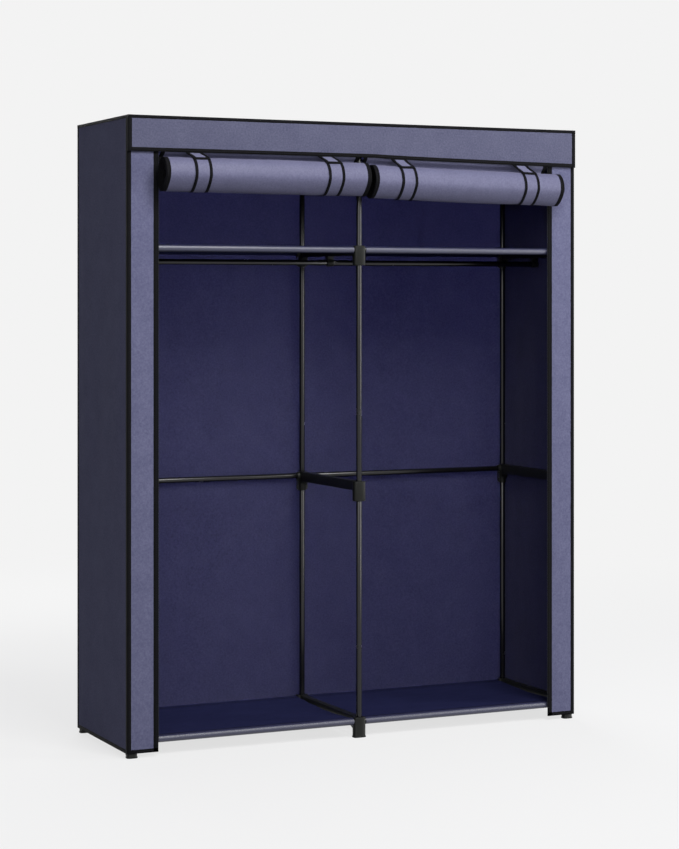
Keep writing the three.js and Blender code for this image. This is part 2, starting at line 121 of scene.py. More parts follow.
# Doors and what holds them. STRAP_TOP_Z and HEM_TOP are heights above the floor, HEM_FADE is the
# height over which a door starts to hang its own way, TAB_TIP_ANGLE is in degrees from the roll's
# back over its top, ROLL_DEPTH is the rolls' depth against their height, and UNDERCUT is how much of
# the lower half's depth goes.
ROLL_OUTER = 47.9 * MM
ROLL_CORE = 13 * MM
ROLL_TURNS = 8
ROLL_DEPTH = 0.78
UNDERCUT = 0.62
ROLL_BINDING = 12 * MM
TAB_RIM = 10.5 * MM
STRAP_TOP_Z = 1.665
STRAP_CLOTH = 1.6 * MM
STRAP_MIDDLE = 0.9 * MM
STRAP_EDGE = 8.6 * MM
TAB_PIN_DROP = 1 * MM
TAB_PIN_STANDOFF = 1.5 * MM
TAB_TIP_ANGLE = 124
DROOP = 12 * MM
LEFT_LIFT = 5.5 * MM
RIGHT_SLACK = 3 * MM
HEM_TOP = 1.645
HEM_FADE = 0.025
TELESCOPE = 7 * MM
ROLL_LUMPS = 0.9 * MM
ROLL_DIMPLES = 0.35 * MM
ROLL_SWELL = 0.8 * MM
STRAP_PINCH = 1.3 * MM
PINCH_REACH = 34 * MM
UNDERCUT_START = 12 * MM

# The door's flat cloth: how far it stands behind its plane at each height. It bulges below the
# hem and tucks in above the roll.
PANEL_BENDS = (
    (0, 1.665),
    (-1.2 * MM, 1.654),
    (-3.4 * MM, 1.646),
    (-3.2 * MM, 1.639),
    (1.5 * MM, 1.634),
    (9.0 * MM, 1.627),
    (10.0 * MM, 1.617),
    (6.0 * MM, 1.604),
)

# Real sizes that the surfaces' patterns are worked out from
FIBRE_CLOUD = 60 * MM
FIBRE_CLUMP = 5 * MM
SOFT_FOLD = 90 * MM
CRINKLE = 16 * MM
EMBOSSING = 2.4 * MM
FELT_NAP = 1.4 * MM
TAPE_RIB = 1.6 * MM
STITCH_PITCH = 6 * MM
STITCH_HALF_WIDTH = 0.5 * MM
WEAR_PATCH = 60 * MM

# Places that the frame gives
wall_low, wall_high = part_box("cover_body")
lid_low, lid_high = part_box("cover_top")
HALF_WIDTH = wall_high.x
STRIP_FACE = wall_low.y
BACK_FACE = wall_high.y
WALL_FOOT = wall_low.z
WALL_TOP = wall_high.z
LID_TOP = lid_high.z
VALANCE_FACE = lid_low.y
VALANCE_FOOT = lid_low.z
STRIP_EDGE = HALF_WIDTH - STRIP_WIDTH
PANEL_Y = STRIP_FACE + HEM / 2


def middle_of(node):
    low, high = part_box(node)
    return (low + high) / 2


def linear(hex_colour):
    """An sRGB hex colour as the linear colour that a shader takes."""
    channels = [int(hex_colour[i : i + 2], 16) / 255 for i in (1, 3, 5)]
    return [c / 12.92 if c <= 0.04045 else ((c + 0.055) / 1.055) ** 2.4 for c in channels] + [1.0]


def add_node(tree, kind, settings=None, links=None):
    """A shader node with its settings, by property or input name, and links from other sockets."""
    node = tree.nodes.new(kind)
    for key, value in (settings or {}).items():
        if isinstance(key, str) and hasattr(node, key):
            setattr(node, key, value)
        else:
            node.inputs[key].default_value = value
    for key, socket in (links or {}).items():
        tree.links.new(socket, node.inputs[key])
    return node


def new_material(name):
    material = bpy.data.materials.new(name)
    material.use_nodes = True
    material.node_tree.nodes.clear()
    return material, material.node_tree


def close_material(tree, settings, links):
    """The principled shader and the output that every solid material ends in."""
    shader = add_node(tree, "ShaderNodeBsdfPrincipled", settings, links)
    add_node(tree, "ShaderNodeOutputMaterial", None, {"Surface": shader.outputs["BSDF"]})


# Spunbonded polypropylene cloth: matt, speckled and a little cloudy where its fibres gather, with an
# embossed grain, fine crinkles from its packing and softer folds. The speckle is drawn two or three
# times its real size, so that it shows. A glow lets light through, as this thin cloth does.
def nonwoven_cloth(name, thin, dense, roughness, gloss, sheen=0.05, emboss=EMBOSSING, crease=1.0,
                   glow=0.0):
    material, tree = new_material(name)
    place = add_node(tree, "ShaderNodeTexCoord").outputs["Object"]
    clouds = add_node(
        tree,
        "ShaderNodeTexNoise",
        {"Scale": 1 / FIBRE_CLOUD, "Detail": 4.0, "Roughness": 0.6},
        {"Vector": place},
    )
    fibres = add_node(
        tree,
        "ShaderNodeTexNoise",
        {"Scale": 1 / FIBRE_CLUMP, "Detail": 2.0, "Roughness": 0.7},
        {"Vector": place},
    )
    spread = add_node(
        tree,
        "ShaderNodeMix",
        {"data_type": "FLOAT", "Factor": 0.7},
        {2: clouds.outputs["Fac"], 3: fibres.outputs["Fac"]},
    )
    ramp = add_node(tree, "ShaderNodeValToRGB", None, {"Fac": spread.outputs[0]})
    ramp.color_ramp.elements[0].position = 0.3
    ramp.color_ramp.elements[0].color = linear(dense)
    ramp.color_ramp.elements[1].position = 0.7
    ramp.color_ramp.elements[1].color = linear(thin)
    dots = add_node(
        tree,
        "ShaderNodeTexVoronoi",
        {"feature": "F1", "Scale": 1 / emboss, "Randomness": 0.55},
        {"Vector": place},
    )
    stretch = add_node(
        tree, "ShaderNodeMapping", {"Scale": (1.0, 1.0, 0.35)}, {"Vector": place}
    )
    folds = add_node(
        tree,
        "ShaderNodeTexNoise",
        {"Scale": 1 / SOFT_FOLD, "Detail": 2.0, "Roughness": 0.45},
        {"Vector": stretch.outputs["Vector"]},
    )
    crinkles = add_node(
        tree,
        "ShaderNodeTexNoise",
        {"Scale": 1 / CRINKLE, "Detail": 2.0, "Roughness": 0.5, "Distortion": 0.8},
        {"Vector": place},
    )
    soft = add_node(
        tree,
        "ShaderNodeBump",
        {"Strength": 0.5 * crease, "Distance": 3 * MM},
        {"Height": folds.outputs["Fac"]},
    )
    fine = add_node(
        tree,
        "ShaderNodeBump",
        {"Strength": 0.3 * crease, "Distance": 1.5 * MM},
        {"Height": crinkles.outputs["Fac"], "Normal": soft.outputs["Normal"]},
    )
    grain = add_node(
        tree,
        "ShaderNodeBump",
        {"Strength": 0.45, "Distance": 0.5 * MM},
        {"Height": dots.outputs["Distance"], "Normal": fine.outputs["Normal"]},
    )
    settings = {
        "Roughness": roughness,
        "IOR": 1.49,
        "Specular IOR Level": gloss,
        "Sheen Weight": sheen,
        "Sheen Roughness": 0.5,
    }
    if glow:
        settings["Subsurface Weight"] = 1.0
        settings["Subsurface Radius"] = (1.0, 1.0, 1.15)
        settings["Subsurface Scale"] = glow
    links = {"Base Color": ramp.outputs["Color"], "Normal": grain.outputs["Normal"]}
    close_material(tree, settings, links)
    return material


# Woven polyester binding tape: dull black ribs across it and one row of stitches near its inner edge.
# The stitches and ribs are two or three times the real size, so that they show.
def bound_tape(name, colour, thread, stitch_place):
    material, tree = new_material(name)
    uv = add_node(tree, "ShaderNodeUVMap", {"uv_map": "tape"})
    parts = add_node(tree, "ShaderNodeSeparateXYZ", None, {"Vector": uv.outputs["UV"]})
    ribs = add_node(
        tree,
        "ShaderNodeMath",
        {"operation": "MULTIPLY", 1: 2 * math.pi / TAPE_RIB},
        {0: parts.outputs["X"]},
    )
    rib_wave = add_node(tree, "ShaderNodeMath", {"operation": "SINE"}, {0: ribs.outputs[0]})
    run = add_node(
        tree,
        "ShaderNodeMath",
        {"operation": "MULTIPLY", 1: 2 * math.pi / STITCH_PITCH},
        {0: parts.outputs["X"]},
    )
    dash_wave = add_node(tree, "ShaderNodeMath", {"operation": "SINE"}, {0: run.outputs[0]})
    dash = add_node(
        tree, "ShaderNodeMath", {"operation": "GREATER_THAN", 1: -0.35}, {0: dash_wave.outputs[0]}
    )
    row = add_node(
        tree,
        "ShaderNodeMath",
        {"operation": "COMPARE", 1: stitch_place, 2: STITCH_HALF_WIDTH},
        {0: parts.outputs["Y"]},
    )
    stitch = add_node(
        tree,
        "ShaderNodeMath",
        {"operation": "MULTIPLY"},
        {0: dash.outputs[0], 1: row.outputs[0]},
    )
    height = add_node(
        tree,
        "ShaderNodeMath",
        {"operation": "MULTIPLY_ADD", 1: 2.0},
        {0: stitch.outputs[0], 2: rib_wave.outputs[0]},
    )
    bump = add_node(
        tree,
        "ShaderNodeBump",
        {"Strength": 0.5, "Distance": 0.25 * MM},
        {"Height": height.outputs[0]},
    )
    tint = add_node(
        tree,
        "ShaderNodeMix",
        {"data_type": "RGBA", 6: linear(colour), 7: linear(thread)},
        {"Factor": stitch.outputs[0]},
    )
    close_material(
        tree,
        {"Roughness": 0.62, "IOR": 1.5, "Specular IOR Level": 0.05},
        {"Base Color": tint.outputs[2], "Normal": bump.outputs["Normal"]},
    )
    return material


# A hard surface with a fine even grain, such as powder coat or a spark-eroded moulding
def hard_surface(name, colour, worn, roughness, grain, depth, gloss, metallic=0.0, coat=0.0):
    material, tree = new_material(name)
    place = add_node(tree, "ShaderNodeTexCoord").outputs["Object"]
    skin = add_node(
        tree, "ShaderNodeTexNoise", {"Scale": 1 / grain, "Detail": 2.0}, {"Vector": place}
    )
    patches = add_node(
        tree,
        "ShaderNodeTexNoise",
        {"Scale": 1 / WEAR_PATCH, "Detail": 4.0, "Roughness": 0.6},
        {"Vector": place},
    )
    tint = add_node(
        tree,
        "ShaderNodeMix",
        {"data_type": "RGBA", 6: linear(colour), 7: linear(worn)},
        {"Factor": patches.outputs["Fac"]},
    )
    rough = add_node(
        tree,
        "ShaderNodeMapRange",
        {"To Min": roughness - 0.03, "To Max": roughness + 0.05},
        {"Value": patches.outputs["Fac"]},
    )
    bump = add_node(
        tree,
        "ShaderNodeBump",
        {"Strength": 0.3, "Distance": depth},
        {"Height": skin.outputs["Fac"]},
    )
    close_material(
        tree,
        {
            "Metallic": metallic,
            "IOR": 1.5,
            "Specular IOR Level": gloss,
            "Coat Weight": coat,
            "Coat Roughness": 0.2,
        },
        {
            "Base Color": tint.outputs[2],
            "Roughness": rough.outputs[0],
            "Normal": bump.outputs["Normal"],
        },
    )
    return material


outer_cloth = nonwoven_cloth(
    "spunbonded_cover_cloth", "#656680", "#4e4f69", roughness=0.8, gloss=0.02
)
lid_cloth = nonwoven_cloth("spunbonded_lid_cloth", "#5a5b6f", "#44455a", roughness=0.8, gloss=0.02)
# The cover cloth again, painted much darker for the inner faces: painted shade for the dim inside of
# the wardrobe
inside_shade_cloth = nonwoven_cloth(
    "spunbonded_cloth_painted_inside_shade", "#2c2c44", "#1d1d33", roughness=0.75, gloss=0.1, glow=4.2 * MM
)
door_cloth = nonwoven_cloth(
    "spunbonded_door_cloth", "#5d5d78", "#4a4a64", roughness=0.6, gloss=0.4, crease=0.5
)
strap_cloth = nonwoven_cloth(
    "folded_strap_cloth", "#5d5d78", "#4a4a64", roughness=0.6, gloss=0.4, crease=0.3
)
shelf_cloth = nonwoven_cloth(
    "coated_shelf_cloth", "#212342", "#191b36", roughness=0.6, gloss=0.03, sheen=0.0, crease=0.5
)
# Pulled tight round a tube, the coated cloth is smooth and shines
sleeve_cloth = nonwoven_cloth(
    "stretched_shelf_cloth", "#191b3c", "#131530", roughness=0.44, gloss=1.0, sheen=0.0, crease=0.1
)
tab_felt = nonwoven_cloth(
    "hook_and_loop_felt", "#6d6d88", "#585872", roughness=0.85, gloss=0.2, emboss=FELT_NAP
)
edge_tape = bound_tape(
    "woven_polyester_binding_tape", "#09090b", "#1a1a20", stitch_place=5 * MM
)
narrow_tape = bound_tape(
    "woven_polyester_narrow_tape", "#09090b", "#1a1a20", stitch_place=4 * MM
)
# Powder coat on steel tube: black, even and fairly glossy, with a faint orange peel
tube_coat = hard_surface(
    "black_powder_coated_steel", "#08080a", "#0c0c0e",
    roughness=0.25, grain=0.9 * MM, depth=0.03 * MM, gloss=0.45,
)
# Moulded polypropylene: black, waxy and dull, with a spark-eroded grain
moulding = hard_surface(
    "moulded_black_polypropylene", "#121311", "#191a18",
    roughness=0.38, grain=0.7 * MM, depth=0.05 * MM, gloss=0.15,
)
# Nylon coil, black and slightly shiny, and a slider of zinc under black enamel
zip_nylon = hard_surface(
    "nylon_zip_coil", "#121317", "#1a1b20",
    roughness=0.4, grain=0.5 * MM, depth=0.04 * MM, gloss=0.3,
)
zip_enamel = hard_surface(
    "enamelled_zinc_slider", "#141416", "#1d1d20",
    roughness=0.28, grain=0.8 * MM, depth=0.02 * MM, gloss=0.5, metallic=0.6, coat=0.3,
)


# Making and placing pieces


def make_object(name, bm, materials):
    mesh = bpy.data.meshes.new(name)
    bm.to_mesh(mesh)
    bm.free()
    for material in materials:
        mesh.materials.append(material)
    piece = bpy.data.objects.new(name, mesh)
    bpy.context.scene.collection.objects.link(piece)
    return piece


def modify(piece, kind, **settings):
    modifier = piece.modifiers.new(kind.lower(), kind)
    for key, value in settings.items():
        setattr(modifier, key, value)


def round_edges(piece, width, least=60):
    """A narrow round on the edges that turn by more than an angle in degrees."""
    modify(piece, "BEVEL", width=width, segments=2, limit_method="ANGLE",
           angle_limit=math.radians(least))


def settle(piece, smooth_angle=35):
    """Applies the modifiers, and shades smooth over the bends that are under an angle."""
    view = bpy.context.evaluated_depsgraph_get()
    mesh = bpy.data.meshes.new_from_object(piece.evaluated_get(view))
    piece.modifiers.clear()
    piece.data = mesh
    mesh.name = piece.name
    mesh.shade_smooth()
    mesh.set_sharp_from_angle(angle=math.radians(smooth_angle))
    return piece


def place_on(piece, body, slot, *nodes):
    if nodes:
        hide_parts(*nodes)
    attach(piece, body)
    return piece


def swept_sheet(bm, points, way, steps, measure_up=False):
    """A sheet from a line of points, extruded a way in steps. Its UV map holds metres: along the
    sweep and across the line, or the other way round where the line is the long side."""
    along = bm.verts.layers.float.new("along")
    across = bm.verts.layers.float.new("across")
    line = [bm.verts.new(point) for point in points]
    for before, after in zip(line, line[1:]):
        after[across] = before[across] + (after.co - before.co).length
    edges = [bm.edges.new(pair) for pair in zip(line, line[1:])]
    for step in range(steps):
        made = bmesh.ops.extrude_edge_only(bm, edges=edges)["geom"]
        verts = [item for item in made if isinstance(item, bmesh.types.BMVert)]
        bmesh.ops.translate(bm, verts=verts, vec=way / steps)
        for vert in verts:
            vert[along] = way.length * (step + 1) / steps
        fresh = set(verts)
        edges = [
            item
            for item in made
            if isinstance(item, bmesh.types.BMEdge) and fresh.issuperset(item.verts)
        ]
    bmesh.ops.recalc_face_normals(bm, faces=bm.faces[:])
    uv = bm.loops.layers.uv.new("tape")
    for face in bm.faces:
        for loop in face.loops:
            run, reach = loop.vert[along], loop.vert[across]
            loop[uv].uv = (reach, run) if measure_up else (run, reach)


def face_away(bm, centre):
    """Turns a sheet's faces away from a point, so that its two sides can differ."""
    total = sum(face.normal.dot(face.calc_center_median() - centre) for face in bm.faces)
    if total < 0:
        bmesh.ops.reverse_faces(bm, faces=bm.faces[:])


def swept_piece(name, line, way, steps, materials, thickness, centre=None, mark=None, move=None,
                measure_up=False, **sides):
    """A swept sheet, faced away from a centre, its faces marked with their material by their
    middles, moved into its hang, and given its thickness."""
    bm = bmesh.new()
    swept_sheet(bm, line, way, steps, measure_up)
    if centre is not None:
        face_away(bm, centre)
    if mark:
        for face in bm.faces:
            face.material_index = int(mark(face.calc_center_median()))
    if move:
        for vert in bm.verts:
            vert.co = move(vert.co)
    piece = make_object(name, bm, materials)
    modify(piece, "SOLIDIFY", thickness=thickness, offset=0.0, **sides)
    return piece


def tape_band(name, line, way, steps, thickness, measure_up=False, tape=edge_tape, move=None):
    """A strip of binding tape with rounded edges."""
    band = swept_piece(name, line, way, steps, [tape], thickness, move=move, measure_up=measure_up)
    round_edges(band, 0.35 * MM)
    return settle(band, 50)


def folded_over(first, corner, last):
    """A tape's line from one side of an edge to the other, with its fold slightly rounded."""
    back, onward = (first - corner).normalized(), (last - corner).normalized()
    fold = [back * FOLD_REACH, (back + onward) * FOLD_CUT, onward * FOLD_REACH]
    return [first, *(corner + step for step in fold), last]


def line_length(line):
    return sum((after - before).length for before, after in zip(line, line[1:]))


def polar(centre_y, centre_z, radius, degrees, x=0.0):
    turn = math.radians(degrees)
    return Vector((x, centre_y + radius * math.cos(turn), centre_z + radius * math.sin(turn)))


def droop(x, z):
    """The right-hand bay's hem and rolled door hang a little lower towards their outer end."""
    start = 50 * MM
    share = min(max((x - start) / (HALF_WIDTH - start), 0.0), 1.0) ** 0.7
    return Vector((0, 0, -DROOP * share * ease((LID_TOP - z) / (LID_TOP - VALANCE_FOOT))))


def door_hang(x, z):
    """The left-hand door is strapped up a little tighter than the right-hand one, and both differ
    most at their outer ends."""
    share = 0.6 + 0.4 * min(abs(x) / HALF_WIDTH, 1.0)
    lift = LEFT_LIFT * share if x < 0 else -RIGHT_SLACK * share
    return droop(x, z) + Vector((0, 0, lift * ease((HEM_TOP - z) / HEM_FADE)))


def ease(value):
    value = min(max(value, 0.0), 1.0)
    return value * value * (3 - 2 * value)


def subdivided(points, pitch):
    """The points of a line with others between them, about a pitch apart."""
    full = [points[0]]
    for before, after in zip(points, points[1:]):
        count = max(1, round((after - before).length / pitch))
        full.extend(before.lerp(after, (i + 1) / count) for i in range(count))
    return full


# Frame: tubes and mouldings


def round_tube(node):
    """A smooth tube with its wall, in place of the faceted one."""
    low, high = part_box(node)
    size = high - low
    axis = max(range(3), key=lambda i: size[i])
    length = size[axis]
    bm = bmesh.new()
    rings = []
    for radius in (TUBE_RADIUS, TUBE_RADIUS - TUBE_WALL):
        made = bmesh.ops.create_circle(bm, cap_ends=False, segments=32, radius=radius)
        rings.extend({edge for vert in made["verts"] for edge in vert.link_edges})
    faces = bmesh.ops.bridge_loops(bm, edges=rings)["faces"]
    made = bmesh.ops.extrude_face_region(bm, geom=faces, use_keep_orig=True)["geom"]
    verts = [item for item in made if isinstance(item, bmesh.types.BMVert)]
    bmesh.ops.translate(bm, verts=verts, vec=(0, 0, length))
    bmesh.ops.translate(bm, verts=bm.verts[:], vec=(0, 0, -length / 2))
    bmesh.ops.recalc_face_normals(bm, faces=bm.faces[:])
    turn = Vector((0, 0, 1)).rotation_difference(Vector([float(i == axis) for i in range(3)]))
    place = Matrix.Translation((low + high) / 2) @ turn.to_matrix().to_4x4()
    bmesh.ops.transform(bm, matrix=place, verts=bm.verts[:])
    piece = make_object(f"{node}_tube", bm, [tube_coat])
    round_edges(piece, 0.3 * MM)
    return place_on(settle(piece), ROOT, "black_tube", node)


def dressed_moulding(node, material, body, slot, rounding):
    """A copy of a solid with its edges rounded, for mouldings and die castings."""
    bm = bmesh.new()
    bm.from_mesh(frame["nodes"][node].data)
    bmesh.ops.remove_doubles(bm, verts=bm.verts[:], dist=0.01 * MM)
    bmesh.ops.dissolve_limit(
        bm, angle_limit=math.radians(1), verts=bm.verts[:], edges=bm.edges[:]
    )
    bmesh.ops.triangulate(bm, faces=[face for face in bm.faces if len(face.verts) > 4])
    piece = make_object(f"{node}_surface", bm, [material])
    round_edges(piece, rounding, 40)
    return place_on(settle(piece), body, slot, node)


for node in sorted(frame["nodes"]):
    if "_rail_" in node or "_post_" in node or node.startswith("hanging_rod"):
        round_tube(node)
    if "_connector_" in node:
        dressed_moulding(node, moulding, ROOT, "black_plastic", 0.6 * MM)
for bay in BAYS:
    dressed_moulding(f"zip_slider_{bay}", zip_enamel, f"zip_slider_{bay}", "zip_metal", 0.25 * MM)


# Cloth shelves: one sheet that wraps a rail in front and behind, sags between, and keeps the
# lengthwise creases of its packing


def cloth_shelf(node):
    low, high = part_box(node)
    width = high.x - low.x
    level = "bottom" if node.startswith("bottom") else "shelf"
    bay = node.split("_")[-1]
    front = middle_of(f"{level}_rail_front_{bay}")
    rear = middle_of(f"{level}_rail_rear_{bay}")
    depth = rear.y - front.y
    radius = TUBE_RADIUS + CLEARANCE + CLOTH / 2
    wrap = [SLEEVE_WRAP * i / 22 for i in range(23)]

    def sag(share):
        return SHELF_SAG * 4 * share * (1 - share)

    def ripple(place):
        inside = ease((place.y - front.y) / (60 * MM)) * ease((rear.y - place.y) / (60 * MM))
        waves = noise.noise(Vector((place.x / 0.16, place.y / 0.07, level == "shelf")))
        return place + Vector((0, 0, SHELF_RIPPLE * inside * waves))

    points = [polar(front.y, front.z, radius, SLEEVE_WRAP - 270 - turn, low.x) for turn in wrap]
    for share in (i / 36 for i in range(1, 36)):
        creases = sum(math.exp(-(((share - place) / CREASE_WIDTH) ** 2)) for place in CREASES)
        z = front.z + radius - (sag(share) - CREASE_HEIGHT * creases)
        points.append(Vector((low.x, front.y + depth * share, z)))
    points += [polar(rear.y, rear.z, radius, 90 - turn, low.x) for turn in wrap]
    piece = swept_piece(
        f"{node}_cloth", points, Vector((width, 0, 0)), 48, [shelf_cloth, sleeve_cloth], CLOTH,
        mark=lambda centre: centre.y < front.y + SLEEVE_FACE, move=ripple,
    )
    settle(piece, 60)
    place_on(piece, ROOT, "navy_shelf_cloth", node)
    line_length(points)
    # The sleeves' seams, as a row of raised stitching beside each rail
    for row, rail, side in (("front", front, 1), ("rear", rear, -1)):
        y = rail.y + side * SLEEVE_SEAM
        z = front.z + radius + CLOTH / 2 - sag(SLEEVE_SEAM / depth)
        line = [Vector((low.x, y + reach, z)) for reach in (-SEAM_WIDTH / 2, SEAM_WIDTH / 2)]
        seam = tape_band(f"{node}_{row}_seam", line, Vector((width, 0, 0)), 24, 0.5 * MM,
                         tape=narrow_tape)
        place_on(seam, ROOT, "navy_shelf_cloth")


for row in ("bottom", "upper"):
    for bay in BAYS:
        cloth_shelf(f"{row}_shelf_{bay}")


# Cover: the walls are one sheet folded round the corners, with the zip strips in front


# The cloth's own colour outside and on its rims, and inside a darker copy of it that is painted shade
# for the dim hollow
SHADED_INSIDE = {"material_offset": 1, "material_offset_rim": 0}


def wall_line(inset, z):
    """The plan of the walls' cloth, a distance in from its outer face."""
    out, back, front = HALF_WIDTH - inset, BACK_FACE - inset, STRIP_FACE + inset
    corners = [(-STRIP_EDGE, front), (-out, front), (-out, back), (out, back), (out, front)]
    return [Vector((x, y, z)) for x, y in [*corners, (STRIP_EDGE, front)]]


def wall_bulge(place):
    """How far the hanging cloth stands out from its plane, away from the corners and the hems: slow
    waves, by their lengths in metres, and quicker ones on them."""
    x, y, z = place
    near = 5 * MM
    on_side = abs(abs(x) - HALF_WIDTH) < near and STRIP_FACE + near < y < BACK_FACE - near
    on_back = abs(y - BACK_FACE) < near
    to_ends = min(z - WALL_FOOT - HEM_HEIGHT, WALL_TOP - z)
    if on_side:
        to_edge = min(y - STRIP_FACE, BACK_FACE - y) - TAPE_WIDTH
        way = Vector((math.copysign(1, x), 0, 0))
        slow, most = Vector((0, y / 0.14, z / 0.5)), SIDE_BULGE
    elif on_back:
        to_edge = HALF_WIDTH - abs(x) - TAPE_WIDTH
        way = Vector((0, 1, 0))
        slow, most = Vector((x / 0.22, 7, z / 0.6)), BACK_BULGE
    else:
        to_edge = min(HALF_WIDTH - abs(x) - TAPE_WIDTH, abs(x) - STRIP_EDGE - ZIP_BAND)
        way = Vector((0, -1, 0))
        slow, most = Vector((x / 0.08, 11, z / 0.3)), STRIP_BULGE
    fade = ease(to_edge / (55 * MM)) * ease(to_ends / (60 * MM))
    quick = slow * 2.7 + Vector((3, 5, 9))
    amount = 0.55 + 0.8 * noise.noise(slow) + 0.3 * noise.noise(quick)
    return way * (most * fade * max(amount, 0.0))


def cover_walls():
    line = subdivided(wall_line(TAPE + CLOTH / 2, WALL_FOOT + TAPE), 16 * MM)
    rise = WALL_TOP - WALL_FOOT - TAPE
    up = Vector((0, 0, rise))
    piece = swept_piece(
        "cover_walls", line, up, 84, [outer_cloth, inside_shade_cloth], CLOTH,
        centre=Vector((0, (STRIP_FACE + BACK_FACE) / 2, rise / 2)),
        move=lambda place: place + wall_bulge(place), **SHADED_INSIDE,
    )
    settle(piece, 50)
    place_on(piece, ROOT, "navy_cover_cloth", "cover_body")
    line_length(line)
    foot = subdivided(wall_line(HEM / 2, WALL_FOOT), 30 * MM)
    bands = [tape_band("cover_foot_hem", foot, Vector((0, 0, HEM_HEIGHT)), 2, HEM, measure_up=True)]
    for sign, side in ((-1, "left"), (1, "right")):
        for row, face, back in (("front", STRIP_FACE, 1), ("back", BACK_FACE, -1)):
            y = face + back * TAPE / 2
            corner = Vector((sign * (HALF_WIDTH - TAPE / 2), y, WALL_FOOT))
            first = Vector((sign * (HALF_WIDTH - TAPE_WIDTH), y, WALL_FOOT))
            last = Vector((corner.x, face + back * TAPE_WIDTH, WALL_FOOT))
            bands.append(tape_band(f"cover_{row}_{side}_corner_binding",
                                   folded_over(first, corner, last), up, 96, TAPE))
        edge = [
            Vector((sign * (STRIP_EDGE + reach), STRIP_FACE + HEM / 2, WALL_FOOT))
            for reach in (0, ZIP_BAND)
        ]
        bands.append(tape_band(f"cover_{side}_zip_band", edge, up, 96, HEM))
    for band in bands:
        place_on(band, ROOT, "navy_cover_cloth")


def zip_coil(side, sign):
    """Half a zip: small rounded teeth along the strip's edge."""
    pitch, width, height, depth = 4.2 * MM, 3.0 * MM, 2.4 * MM, 1.8 * MM
    low, high = WALL_FOOT + 30 * MM, WALL_TOP - 8 * MM
    bm = bmesh.new()
    made = bmesh.ops.create_cube(bm, size=1.0)["verts"]
    bmesh.ops.scale(bm, vec=(width, depth, height), verts=made)
    bmesh.ops.bevel(bm, geom=bm.edges[:], offset=0.5 * MM, segments=1, affect="EDGES",
                    profile=0.5, material=-1)
    tooth = bpy.data.meshes.new("tooth")
    bm.to_mesh(tooth)
    bm.clear()
    for i in range(int((high - low) / pitch)):
        start = len(bm.verts)
        bm.from_mesh(tooth)
        bm.verts.ensure_lookup_table()
        bmesh.ops.translate(
            bm, verts=bm.verts[start:],
            vec=(sign * (STRIP_EDGE - 0.6 * MM), STRIP_FACE + HEM / 2, low + pitch * (i + 0.5)),
        )
    bpy.data.meshes.remove(tooth)
    piece = make_object(f"cover_{side}_zip_teeth", bm, [zip_nylon])
    place_on(settle(piece), ROOT, "navy_cover_cloth")


cover_walls()
zip_coil("left", -1)
zip_coil("right", 1)


# Lid: the top and the valance are one sheet, folded over the front edge


TOP_RAIL_FRONT = middle_of("top_rail_front_left").y
TOP_RAIL_REAR = middle_of("top_rail_rear_left").y


def lid_sag(place):
    """The top rests on the connectors and hangs between them, and the valance hangs nearly flat."""
    x, y, z = place
    to_end = HALF_WIDTH - abs(x)
    if z > LID_TOP - 3 * MM:
        bay = abs(math.sin(math.pi * x / HALF_WIDTH)) * ease((to_end - 25 * MM) / (90 * MM))
        across = min(max((y - TOP_RAIL_FRONT) / (TOP_RAIL_REAR - TOP_RAIL_FRONT), 0.0), 1.0)
        arch = math.sin(math.pi * across)
        to_edges = ease((y - VALANCE_FACE) / (40 * MM)) * ease((BACK_FACE - y) / (14 * MM))
        hollow = LID_SHOULDER * bay * to_edges + LID_SAG * bay**0.7 * arch**0.8
        ripple = noise.noise(Vector((x / 0.2, y / 0.12, 3))) * LID_RIPPLE
        return Vector((0, 0, ripple * bay * arch - hollow))
    fade = ease((LID_TOP - z) / (60 * MM)) * ease(to_end / (50 * MM))
    wave = noise.noise(Vector((x / 0.18, 5, z / 0.3)))
    wave += 0.3 * noise.noise(Vector((x / 0.06, 2, z / 0.1)))
    return Vector((0, -VALANCE_WAVE * fade * (0.5 + wave), 0)) + droop(x, z)


